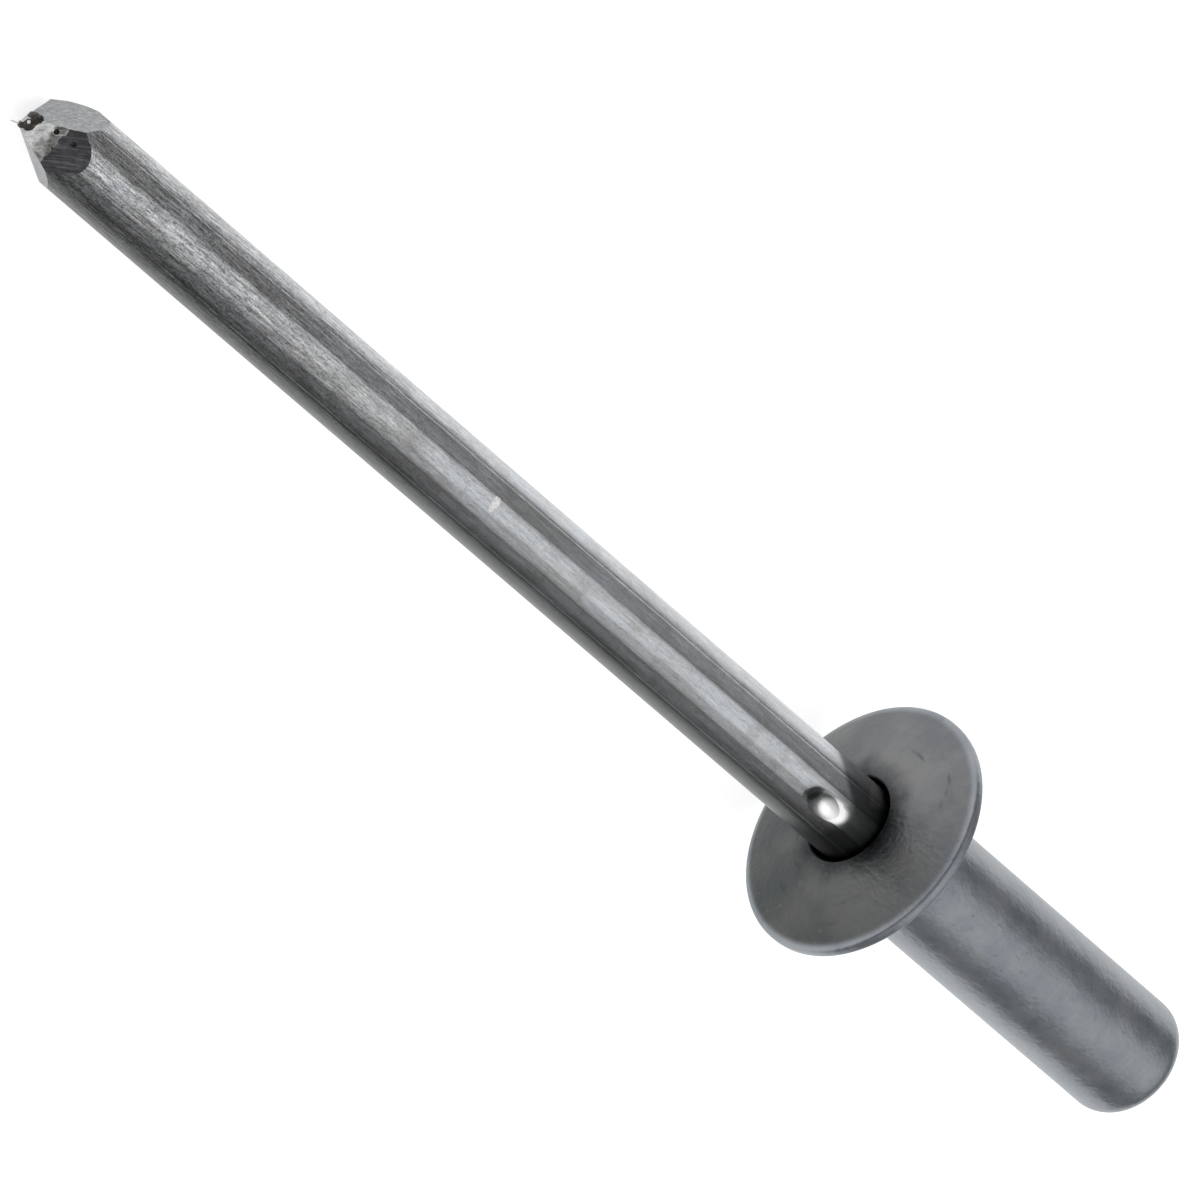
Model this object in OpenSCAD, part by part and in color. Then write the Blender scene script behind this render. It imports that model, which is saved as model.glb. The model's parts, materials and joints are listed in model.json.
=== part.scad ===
// Closed-end blind rivet: a drawn cup with a domed flange, and the fluted mandrel
// that is trapped in it. It lies at rest on the flange's rim and on the mandrel's
// shank just behind its point, with +X towards the closed end and +Z up.

/* [Rivet body] */
// Outside diameter of the shank
body_d = 3.15; // [2.95:0.05:3.8]
// Length of the shank, from the seat under the flange to the closed end
body_len = 11.6; // [7:0.1:20]
// Diameter of the flange
flange_d = 6.7; // [5.4:0.1:9]
// Height of the flange's straight edge
flange_edge_h = 0.3; // [0.22:0.02:0.6]
// Rise of the flange's dome, from its edge to the rim of the hole
dome_rise = 0.5; // [0.3:0.05:0.8]
// Radius of the corners of the flange's edge
edge_round = 0.1; // [0.04:0.01:0.1]
// Radius of the fillet between the flange and the shank
seat_fillet = 0.12; // [0.05:0.01:0.3]
// Radius of the closed end's corner
end_round = 0.7; // [0.3:0.05:1]
// Thickness of the closed end
end_wall = 0.6; // [0.4:0.05:1]
// Radius of the rounded rim of the hole
hole_round = 0.1; // [0.04:0.02:0.2]

/* [Mandrel] */
// Diameter of the mandrel's wire
mandrel_d = 2.15; // [1.8:0.05:2.2]
// Length of mandrel that stands out of the flange, from the hole's rim to the tip
mandrel_out = 33.15; // [25:0.05:40]
// Diameter of the upset head inside the closed end
mandrel_head_d = 2.5; // [2.36:0.02:2.6]
// Height of the upset head's straight side
mandrel_head_h = 1.2; // [0.8:0.1:2]
// Corner chamfer at the bottom of the upset head
mandrel_head_chamfer = 0.25; // [0.1:0.05:0.4]
// Diameter at the bottom of the break neck
neck_d = 1.3; // [0.9:0.1:1.6]
// Width of the break neck's notch
neck_w = 0.9; // [0.6:0.1:1.4]
// Length of plain wire between the upset head and the break neck
neck_gap = 0.3; // [0.2:0.1:1]

/* [Flutes and crimp] */
// Number of flutes drawn along the wire
flute_count = 6; // [3:1:8]
// Width of a flute at the wire's surface
flute_w = 0.37; // [0.25:0.01:0.45]
// Depth of a flute's flat bottom below the wire's surface
flute_depth = 0.05; // [0.03:0.01:0.1]
// Number of crimp dimples round the mandrel, just outside the flange
crimp_count = 2; // [1:1:4]
// Distance from the hole's rim to the middle of the crimp dimples
crimp_out = 1.7; // [1.2:0.1:4]
// Length of a crimp dimple's straight part
crimp_len = 0.65; // [0.2:0.05:1.2]
// Radius of the punch that makes a crimp dimple
crimp_punch_r = 0.45; // [0.3:0.01:0.6]
// Depth of a crimp dimple
crimp_depth = 0.25; // [0.1:0.01:0.3]

/* [Point] */
// Length of the pinched point, from the tip to where its longest facet runs out
point_len = 1.9; // [1.5:0.05:2.8]

/* [Clearances] */
// Radial clearance between the mandrel and the body's bore and pocket
bore_clearance = 0.06; // [0.02:0.01:0.08]
// Clearance at each end of the upset head in its pocket
head_clearance = 0.03; // [0.01:0.01:0.08]

/* [Hidden] */
$fn = 96;

// Each facet of the point: its direction round the mandrel from straight up, where it runs
// out on the wire as a share of point_len, and its distance from the axis at the tip's
// height as a share of the wire's radius, which is below 0 where it has crossed the axis
POINT_FACETS = [
    [88, 1, -0.1],
    [-8, 0.83, 0.4],
    [-9, 0.63, 0.16],
    [-91, 0.97, 0.37],
    [-108, 0.98, 0.24],
    [170, 0.61, -0.15],
];
TIP_FACETS = [2, 4, 5];   // the facets that meet at the tip
BODY_TURN = -6.9;     // turn of the body round its own axis, which lies on a step of its rim
FLUTE_TURN = 30;      // direction of the first flute round the mandrel
CRIMP_TURN = -8;      // direction of the first crimp dimple round the mandrel
OVER = 1;             // how far a cutting shape passes the surface that it cuts
CUTTER = 6;           // size of the block that cuts a facet

BODY_R = body_d / 2;
FLANGE_R = flange_d / 2;
MANDREL_R = mandrel_d / 2;
MANDREL_HEAD_R = mandrel_head_d / 2;
BORE_R = MANDREL_R + bore_clearance;
POCKET_R = MANDREL_HEAD_R + bore_clearance;

// Heights along the rivet's own axis, from the seat under the flange towards the tip
FLANGE_TOP = flange_edge_h + dome_rise;
TIP_Z = FLANGE_TOP + mandrel_out;
POCKET_FLOOR_Z = end_wall - body_len;
HEAD_FLOOR_Z = POCKET_FLOOR_Z + head_clearance;
HEAD_TOP_Z = HEAD_FLOOR_Z + mandrel_head_h;
HEAD_CONE_H = MANDREL_HEAD_R - MANDREL_R;
NECK_Z = HEAD_TOP_Z + HEAD_CONE_H + neck_gap + neck_w / 2;
WIRE_Z = NECK_Z + neck_w / 2;
POCKET_TOP_Z = HEAD_TOP_Z + head_clearance;

// Circle of the dome, through the edge's upper corner and the rim of the hole
DOME_EDGE_R = FLANGE_R - edge_round;
DOME_DROP = (pow(DOME_EDGE_R, 2) - pow(BORE_R, 2) - pow(dome_rise, 2)) / (2 * dome_rise);
DOME_R = norm([DOME_EDGE_R, DOME_DROP]);

// Facets of the point as planes: run-out on the wire, angle to the axis, outward normal
function facet_run(f) = point_len * f[1];
function facet_slope(f) = atan(MANDREL_R * (1 - f[2]) / facet_run(f));
function facet_normal(f) =
    [cos(facet_slope(f)) * cos(f[0]), cos(facet_slope(f)) * sin(f[0]), sin(facet_slope(f))];
function facet_level(f) =
    facet_normal(f) * [MANDREL_R * cos(f[0]), MANDREL_R * sin(f[0]), TIP_Z - facet_run(f)];

// Point where three facets meet
function corner(a, b, c) =
    (facet_level(a) * cross(facet_normal(b), facet_normal(c))
        + facet_level(b) * cross(facet_normal(c), facet_normal(a))
        + facet_level(c) * cross(facet_normal(a), facet_normal(b)))
    / (facet_normal(a) * cross(facet_normal(b), facet_normal(c)));
TIP = corner(POINT_FACETS[TIP_FACETS[0]], POINT_FACETS[TIP_FACETS[1]], POINT_FACETS[TIP_FACETS[2]]);

// Rest: the lowest line of the wire ends at SHOULDER_Z, where the facets run out on it
function facet_run_below(f) =
    facet_run(f) - MANDREL_R / tan(facet_slope(f)) * (1 - cos(180 - f[0]));
SHOULDER_Z = TIP_Z - max([for (f = POINT_FACETS) facet_run_below(f)]);
REST_RUN = SHOULDER_Z - (flange_edge_h - edge_round);
REST_DROP = FLANGE_R - edge_round - MANDREL_R;
REST_TILT = atan2(REST_DROP, REST_RUN) + asin(edge_round / norm([REST_RUN, REST_DROP]));
AXIS_H = SHOULDER_Z * sin(REST_TILT) + MANDREL_R * cos(REST_TILT);
TIP_X = -TIP[2] * cos(REST_TILT) - TIP[0] * sin(REST_TILT);
END_X = (body_len - end_round) * cos(REST_TILT) + (BODY_R - end_round) * sin(REST_TILT) + end_round;

// Lays a piece that is modelled upright round its own axis down on the ground
module at_rest() {
    translate([-(TIP_X + END_X) / 2, 0, AXIS_H])
        rotate([0, -90 - REST_TILT, 0])
            children();
}

// Half section of the flange: a straight edge with round corners under a low dome
module flange_section() {
    square([FLANGE_R - edge_round, flange_edge_h]);
    translate([0, edge_round])
        square([FLANGE_R, flange_edge_h - 2 * edge_round]);
    for (z = [edge_round, flange_edge_h - edge_round])
        translate([FLANGE_R - edge_round, z])
            circle(r = edge_round);
    intersection() {
        translate([0, flange_edge_h])
            square([DOME_EDGE_R, dome_rise + OVER]);
        translate([0, flange_edge_h - DOME_DROP])
            circle(r = DOME_R, $fn = 720);
    }
}

// Half section of the shank, with the fillet under the flange and the round closed end
module shank_section() {
    translate([0, end_round - body_len])
        square([BODY_R, body_len - end_round]);
    translate([0, -body_len])
        square([BODY_R - end_round, end_round]);
    translate([BODY_R - end_round, end_round - body_len])
        circle(r = end_round);
    difference() {
        translate([0, -seat_fillet])
            square([BODY_R + seat_fillet, seat_fillet]);
        translate([BODY_R + seat_fillet, -seat_fillet])
            circle(r = seat_fillet);
    }
}

// Half section of the space inside: the bore with its round rim, and the head's pocket
module bore_section() {
    translate([-OVER, POCKET_TOP_Z])
        square([BORE_R + OVER, FLANGE_TOP - POCKET_TOP_Z + OVER]);
    difference() {
        translate([0, FLANGE_TOP - hole_round])
            square([BORE_R + hole_round, hole_round + OVER]);
        translate([BORE_R + hole_round, FLANGE_TOP - hole_round])
            circle(r = hole_round);
    }
    polygon([
        [-OVER, POCKET_FLOOR_Z],
        [POCKET_R - mandrel_head_chamfer, POCKET_FLOOR_Z],
        [POCKET_R, POCKET_FLOOR_Z + mandrel_head_chamfer],
        [POCKET_R, POCKET_TOP_Z],
        [BORE_R, POCKET_TOP_Z + POCKET_R - BORE_R],
        [-OVER, POCKET_TOP_Z + POCKET_R - BORE_R],
    ]);
}

module rivet_body() {
    color([0.50, 0.51, 0.53])
        at_rest()
            rotate(BODY_TURN)
                rotate_extrude()
                    difference() {
                        union() {
                            flange_section();
                            shank_section();
                        }
                        bore_section();
                    }
}

// Upset head, its cone, a little plain wire, the break neck and the long wire above it
module headed_wire() {
    rotate_extrude()
        polygon([
            [0, HEAD_FLOOR_Z],
            [MANDREL_HEAD_R - mandrel_head_chamfer, HEAD_FLOOR_Z],
            [MANDREL_HEAD_R, HEAD_FLOOR_Z + mandrel_head_chamfer],
            [MANDREL_HEAD_R, HEAD_TOP_Z],
            [MANDREL_R, HEAD_TOP_Z + HEAD_CONE_H],
            [MANDREL_R, NECK_Z - neck_w / 2],
            [neck_d / 2, NECK_Z],
            [MANDREL_R, WIRE_Z],
            [MANDREL_R, TIP_Z + OVER],
            [0, TIP_Z + OVER],
        ]);
}

// Flat-bottomed grooves drawn along the wire, from the break neck to past the point
module flutes() {
    for (i = [0 : flute_count - 1])
        rotate(FLUTE_TURN + i * 360 / flute_count)
            translate([MANDREL_R - flute_depth, -flute_w / 2, NECK_Z])
                cube([flute_depth + OVER, flute_w, TIP_Z - NECK_Z + 2 * OVER]);
}

// Round-ended dents pressed into the wire just outside the flange
module crimp_dimples() {
    for (i = [0 : crimp_count - 1])
        rotate(CRIMP_TURN + i * 360 / crimp_count)
            translate([MANDREL_R - crimp_depth + crimp_punch_r, 0, FLANGE_TOP + crimp_out]) {
                cylinder(r = crimp_punch_r, h = crimp_len, center = true);
                for (side = [-1, 1])
                    translate([0, 0, side * crimp_len / 2])
                        sphere(r = crimp_punch_r);
            }
}

// Flat cuts that pinch the wire to a point beside its axis
module point_cuts() {
    for (f = POINT_FACETS)
        rotate(f[0])
            translate([MANDREL_R, 0, TIP_Z - facet_run(f)])
                rotate([0, -facet_slope(f), 0])
                    translate([0, -CUTTER / 2, -CUTTER / 2])
                        cube(CUTTER);
}

module mandrel() {
    color([0.66, 0.66, 0.67])
        at_rest()
            difference() {
                headed_wire();
                flutes();
                crimp_dimples();
                point_cuts();
            }
}

rivet_body();
mandrel();
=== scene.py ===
"""Looks of a closed-end blind rivet that lies on a pale floor.

Two pieces are modelled: the drawn cup with its low domed flange, and the fluted mandrel
that is trapped in it, with its pinched and torn point. Both are made upright round the
rivet's own axis, in millimetres, with the seat under the flange at height 0 and the point
upwards, and are then laid down on the frame.
"""

import json
import logging
import math
from collections.abc import Callable, Iterable
from dataclasses import dataclass, field
from enum import Enum

import bmesh
import bpy
from mathutils import Matrix, Vector


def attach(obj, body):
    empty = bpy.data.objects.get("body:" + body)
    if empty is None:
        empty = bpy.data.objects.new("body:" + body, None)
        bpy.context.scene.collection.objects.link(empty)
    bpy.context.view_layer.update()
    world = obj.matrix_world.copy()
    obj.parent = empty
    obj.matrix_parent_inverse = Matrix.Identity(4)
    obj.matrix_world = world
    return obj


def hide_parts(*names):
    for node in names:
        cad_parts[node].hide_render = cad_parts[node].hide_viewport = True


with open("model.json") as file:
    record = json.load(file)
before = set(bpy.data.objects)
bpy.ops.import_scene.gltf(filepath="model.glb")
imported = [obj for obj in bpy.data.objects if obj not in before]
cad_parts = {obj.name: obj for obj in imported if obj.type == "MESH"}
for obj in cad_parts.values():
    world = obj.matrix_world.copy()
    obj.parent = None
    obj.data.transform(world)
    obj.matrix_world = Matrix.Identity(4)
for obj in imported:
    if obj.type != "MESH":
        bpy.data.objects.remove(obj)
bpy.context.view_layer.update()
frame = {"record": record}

MM = 0.001
log = logging.getLogger("rivet")


# --------------------------------------------------------------------------- the frame


@dataclass(frozen=True)
class OwnAxis:
    """Where the rivet's own axis runs in the frame, as the mounts of the record say.

    Attributes:
        seat: centre of the seat under the flange, in metres.
        closed_end: unit vector along the axis, from the seat to the closed end.
    """

    seat: Vector
    closed_end: Vector

    @classmethod
    def from_record(cls, record: dict) -> "OwnAxis":
        """Reads the axis from the shank's mount and the seat from the flange's.

        Args:
            record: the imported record.

        Returns:
            The rivet's own axis.
        """
        mounts = {mount["name"]: mount for mount in record["mounts"]}
        closed_end = Vector(mounts["shank"]["axis"]).normalized()
        on_axis = Vector(mounts["shank"]["pos_m"])
        on_seat = Vector(mounts["flange_seat"]["pos_m"])
        seat = on_axis + closed_end * (on_seat - on_axis).dot(closed_end)
        return cls(seat, closed_end)

    @property
    def tilt(self) -> float:
        """Angle by which the closed end points above level, in radians."""
        return math.asin(self.closed_end.z)

    def laid_down(self) -> Matrix:
        """Matrix that takes a piece from its own upright millimetres to the frame."""
        up = Vector((-math.sin(self.tilt), 0.0, math.cos(self.tilt)))
        side = Vector((0.0, 1.0, 0.0))
        point = -self.closed_end
        turn = Matrix((up, side, point)).transposed().to_4x4()
        return Matrix.Translation(self.seat) @ turn @ Matrix.Scale(MM, 4)


# ----------------------------------------------------------------------- bench helpers


def deselect() -> None:
    """Leaves edit mode and deselects every object."""
    if bpy.context.object and bpy.context.object.mode != "OBJECT":
        bpy.ops.object.mode_set(mode="OBJECT")
    bpy.ops.object.select_all(action="DESELECT")


def make_active(piece: bpy.types.Object) -> None:
    """Makes a piece the only selected object, and the active one.

    Args:
        piece: the piece.
    """
    deselect()
    piece.select_set(True)
    bpy.context.view_layer.objects.active = piece


def pick(piece: bpy.types.Object, wanted: Callable[[Vector], bool]) -> None:
    """Selects, in edit mode, the vertices whose place passes a test.

    Args:
        piece: the piece that is being edited.
        wanted: says of a vertex's place whether it is picked.
    """
    bpy.ops.mesh.select_mode(type="VERT")
    mesh = bmesh.from_edit_mesh(piece.data)
    for vertex in mesh.verts:
        vertex.select = wanted(vertex.co)
    mesh.select_flush_mode()
    bmesh.update_edit_mesh(piece.data)


def polar(point: Vector) -> tuple[float, float]:
    """Radius and direction, in degrees, of a point round the rivet's own axis."""
    return math.hypot(point.x, point.y), math.degrees(math.atan2(point.y, point.x))


def apply_modifier(piece: bpy.types.Object, kind: str, **settings: object) -> None:
    """Adds a modifier with its settings and applies it at once.

    Args:
        piece: the piece that gets the modifier.
        kind: the modifier's type.
        **settings: the modifier's own values.
    """
    make_active(piece)
    modifier = piece.modifiers.new(kind.lower(), kind)
    for name, value in settings.items():
        setattr(modifier, name, value)
    bpy.ops.object.modifier_apply(modifier=modifier.name)


def combine(piece: bpy.types.Object, tool: bpy.types.Object, operation: str) -> None:
    """Cuts a tool out of a piece, or adds it to the piece, and takes the tool away.

    Args:
        piece: the piece that is worked on.
        tool: a closed shape, whose materials go to the faces that it leaves.
        operation: DIFFERENCE or UNION.
    """
    apply_modifier(
        piece,
        "BOOLEAN",
        operation=operation,
        solver="EXACT",
        object=tool,
        material_mode="TRANSFER",
    )
    bpy.data.objects.remove(tool)


def roughen(piece: bpy.types.Object, grain: float, relief: float) -> None:
    """Moves a piece's surface in and out in cloudy waves.

    Args:
        piece: the piece.
        grain: size of the largest waves, in millimetres.
        relief: height of the waves, in millimetres.
    """
    texture = bpy.data.textures.new(f"{piece.name}_waves", "CLOUDS")
    texture.noise_scale = grain
    texture.noise_depth = 3
    apply_modifier(piece, "DISPLACE", texture=texture, strength=relief * 2, mid_level=0.5)


def lay_down(piece: bpy.types.Object, axis: OwnAxis) -> None:
    """Puts a finished piece in its place in the frame, with its object at the origin.

    Args:
        piece: the piece, upright in millimetres.
        axis: the rivet's own axis.
    """
    make_active(piece)
    piece.matrix_world = axis.laid_down()
    bpy.ops.object.transform_apply(location=True, rotation=True, scale=True)


def settle_order(piece: bpy.types.Object) -> None:
    """Sorts a piece's vertices, edges and faces by place, so that each run gives the same ones.

    Args:
        piece: the piece, out of edit mode.
    """
    mesh = bmesh.new()
    mesh.from_mesh(piece.data)
    keys = (
        (mesh.verts, lambda vertex: tuple(vertex.co)),
        (mesh.edges, lambda edge: sorted(vertex.index for vertex in edge.verts)),
        (mesh.faces, lambda face: sorted(vertex.index for vertex in face.verts)),
    )
    for parts, key in keys:
        ranks = {part.index: rank for rank, part in enumerate(sorted(parts, key=key))}
        parts.sort(key=lambda part: ranks[part.index])
        parts.index_update()
    mesh.to_mesh(piece.data)
    mesh.free()


def seal(piece: bpy.types.Object, gap: float) -> None:
    """Merges the doubles of a piece in a fixed order and turns its faces outwards.

    Args:
        piece: the piece to seal.
        gap: the distance within which vertices are one, in millimetres.
    """
    settle_order(piece)
    make_active(piece)
    bpy.ops.object.mode_set(mode="EDIT")
    bpy.ops.mesh.select_all(action="SELECT")
    bpy.ops.mesh.remove_doubles(threshold=gap)
    bpy.ops.mesh.normals_make_consistent(inside=False)
    bpy.ops.object.mode_set(mode="OBJECT")


class Turning:
    """A skin that is grown ring by ring along the rivet's own axis, as on a lathe."""

    def __init__(self, name: str, radius: float, height: float, segments: int) -> None:
        """Starts with a small disc.

        Args:
            name: name of the piece.
            radius: radius of the disc, in millimetres.
            height: height of the disc on the axis.
            segments: number of segments round the axis.
        """
        deselect()
        bpy.ops.mesh.primitive_circle_add(
            vertices=segments, radius=radius, fill_type="TRIFAN", location=(0, 0, height)
        )
        self.piece = bpy.context.object
        self.piece.name = name
        self.piece.data.name = name
        bpy.ops.object.transform_apply(location=True)
        bpy.ops.object.mode_set(mode="EDIT")
        pick(self.piece, lambda place: polar(place)[0] > radius / 2)
        self.radius = radius
        self.height = height

    def ring(self, radius: float, height: float) -> None:
        """Extrudes the open rim to a new ring.

        Args:
            radius: radius of the new ring, in millimetres.
            height: height of the new ring on the axis.
        """
        rise = (0, 0, height - self.height)
        bpy.ops.mesh.extrude_region_move(TRANSFORM_OT_translate={"value": rise})
        growth = radius / self.radius
        bpy.ops.transform.resize(value=(growth, growth, 1), center_override=(0, 0, height))
        self.radius = radius
        self.height = height

    def follow(self, profile: Iterable[tuple[float, float]]) -> None:
        """Extrudes through the rings of a profile of (radius, height) points."""
        for radius, height in profile:
            self.ring(radius, height)

    def close(self) -> bpy.types.Object:
        """Merges the open rim to a pole on the axis, and returns the piece."""
        bpy.ops.mesh.merge(type="COLLAPSE")
        bpy.ops.object.mode_set(mode="OBJECT")
        return self.piece


def arc(
    centre: tuple[float, float], radius: float, start: float, end: float, steps: int
) -> list[tuple[float, float]]:
    """Points of an arc in a profile, without the point at its start.

    Args:
        centre: (radius, height) of the arc's centre.
        radius: the arc's own radius.
        start: direction of its first point, in degrees from outwards.
        end: direction of its last point.
        steps: number of points.

    Returns:
        (radius, height) points.
    """
    turns = [math.radians(start + (end - start) * (i + 1) / steps) for i in range(steps)]
    return [
        (centre[0] + radius * math.cos(turn), centre[1] + radius * math.sin(turn))
        for turn in turns
    ]


def line(
    start: tuple[float, float], end: tuple[float, float], steps: int
) -> list[tuple[float, float]]:
    """Evenly spaced points from start to end in a profile, without the start."""
    return [
        (
            start[0] + (end[0] - start[0]) * (i + 1) / steps,
            start[1] + (end[1] - start[1]) * (i + 1) / steps,
        )
        for i in range(steps)
    ]


# ------------------------------------------------------------------- shared node groups


WHITE = (1.0, 1.0, 1.0, 1.0)


def grey(
    level: float, warmth: float = 0.0, violet: float = 0.0
) -> tuple[float, float, float, float]:
    """A linear grey, warm where warmth is above 0 and greenish where violet is below 0."""
    return (level * (1 + warmth), level * (1 - violet), level * (1 - warmth), 1.0)


class Graph:
    """Adds and joins the nodes of one node tree."""

    def __init__(self, tree: bpy.types.NodeTree) -> None:
        """Starts on the node tree of a material, a group or the world."""
        self.tree = tree

    def node(self, kind: str, **settings: object) -> bpy.types.Node:
        """Adds a node.

        Args:
            kind: the node's type.
            **settings: the node's own options.

        Returns:
            The node.
        """
        made = self.tree.nodes.new(kind)
        for name, value in settings.items():
            setattr(made, name, value)
        return made

    def feed(self, socket: bpy.types.NodeSocket, value: object) -> None:
        """Joins a socket to another, or sets its value.

        Args:
            socket: the input that is fed.
            value: a socket, a number, a vector or a colour.
        """
        if isinstance(value, bpy.types.NodeSocket):
            self.tree.links.new(value, socket)
        else:
            socket.default_value = value

    def math(self, operation: str, *values: object) -> bpy.types.NodeSocket:
        """Adds a Math node.

        Args:
            operation: what it works out.
            *values: its inputs, each a socket or a number.

        Returns:
            The node's output.
        """
        made = self.node("ShaderNodeMath", operation=operation)
        for socket, value in zip(made.inputs, values):
            self.feed(socket, value)
        return made.outputs[0]

    def steps(
        self, value: object, low: float, high: float, full: float = 1.0
    ) -> bpy.types.NodeSocket:
        """Goes smoothly from 0 at low to full at high, where low may be the larger one.

        Args:
            value: the socket that is followed.
            low: the value at which the result is 0.
            high: the value at which the result is full.
            full: the result at high.

        Returns:
            The result.
        """
        made = self.node("ShaderNodeMapRange", interpolation_type="SMOOTHSTEP")
        self.feed(made.inputs["Value"], value)
        rising = low < high
        made.inputs["From Min"].default_value = min(low, high)
        made.inputs["From Max"].default_value = max(low, high)
        made.inputs["To Min"].default_value = 0.0 if rising else full
        made.inputs["To Max"].default_value = full if rising else 0.0
        return made.outputs["Result"]

    def noise(
        self, place: object, scale: object, detail: float = 3.0, roughness: float = 0.5
    ) -> bpy.types.NodeSocket:
        """Adds a noise texture.

        Args:
            place: the vector that it follows.
            scale: its fineness, a socket or a number.
            detail: number of its finer layers.
            roughness: how strong the finer layers are.

        Returns:
            Its value.
        """
        made = self.node("ShaderNodeTexNoise")
        self.feed(made.inputs["Vector"], place)
        self.feed(made.inputs["Scale"], scale)
        made.inputs["Detail"].default_value = detail
        made.inputs["Roughness"].default_value = roughness
        return made.outputs["Fac"]

    def vector(self, x: object, y: object, z: object) -> bpy.types.NodeSocket:
        """Combines three values, each a socket or a number, to a vector.

        Args:
            x: its first part.
            y: its second part.
            z: its third part.

        Returns:
            The vector.
        """
        made = self.node("ShaderNodeCombineXYZ")
        for socket, value in zip(made.inputs, (x, y, z)):
            self.feed(socket, value)
        return made.outputs[0]

    def parts(self, vector: bpy.types.NodeSocket) -> bpy.types.bpy_prop_collection:
        """Splits a vector.

        Args:
            vector: the vector.

        Returns:
            The outputs X, Y and Z.
        """
        made = self.node("ShaderNodeSeparateXYZ")
        self.feed(made.inputs[0], vector)
        return made.outputs

    def mix(
        self, share: object, first: object, second: object, blend: str = "MIX"
    ) -> bpy.types.NodeSocket:
        """Mixes two colours.

        Args:
            share: how much of the second colour shows, from 0 to 1.
            first: a colour or a socket.
            second: a colour or a socket.
            blend: how the second colour goes over the first.

        Returns:
            The mixed colour.
        """
        made = self.node("ShaderNodeMix", data_type="RGBA", blend_type=blend)
        self.feed(made.inputs["Factor"], share)
        self.feed(made.inputs[6], first)
        self.feed(made.inputs[7], second)
        return made.outputs[2]

    def multiply(self, first: object, second: object) -> bpy.types.NodeSocket:
        """Multiplies two colours."""
        return self.mix(1.0, first, second, "MULTIPLY")

    def bump(
        self, height: bpy.types.NodeSocket, strength: float, distance: float
    ) -> bpy.types.NodeSocket:
        """Turns a height into a normal.

        Args:
            height: the height that is followed.
            strength: how strongly it shows, from 0 to 1.
            distance: how high a height of 1 is, in millimetres.

        Returns:
            The normal.
        """
        made = self.node("ShaderNodeBump")
        made.inputs["Strength"].default_value = strength
        made.inputs["Distance"].default_value = distance * MM
        self.feed(made.inputs["Height"], height)
        return made.outputs[0]


class Effect(Enum):
    """Names of the shader node groups that more than one finish uses."""

    PLACE = "place_on_rivet"
    DRAWN = "drawing_lines"
    MOTTLE = "mottled_skin"
    SPECKLE = "fine_speckle"


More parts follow.
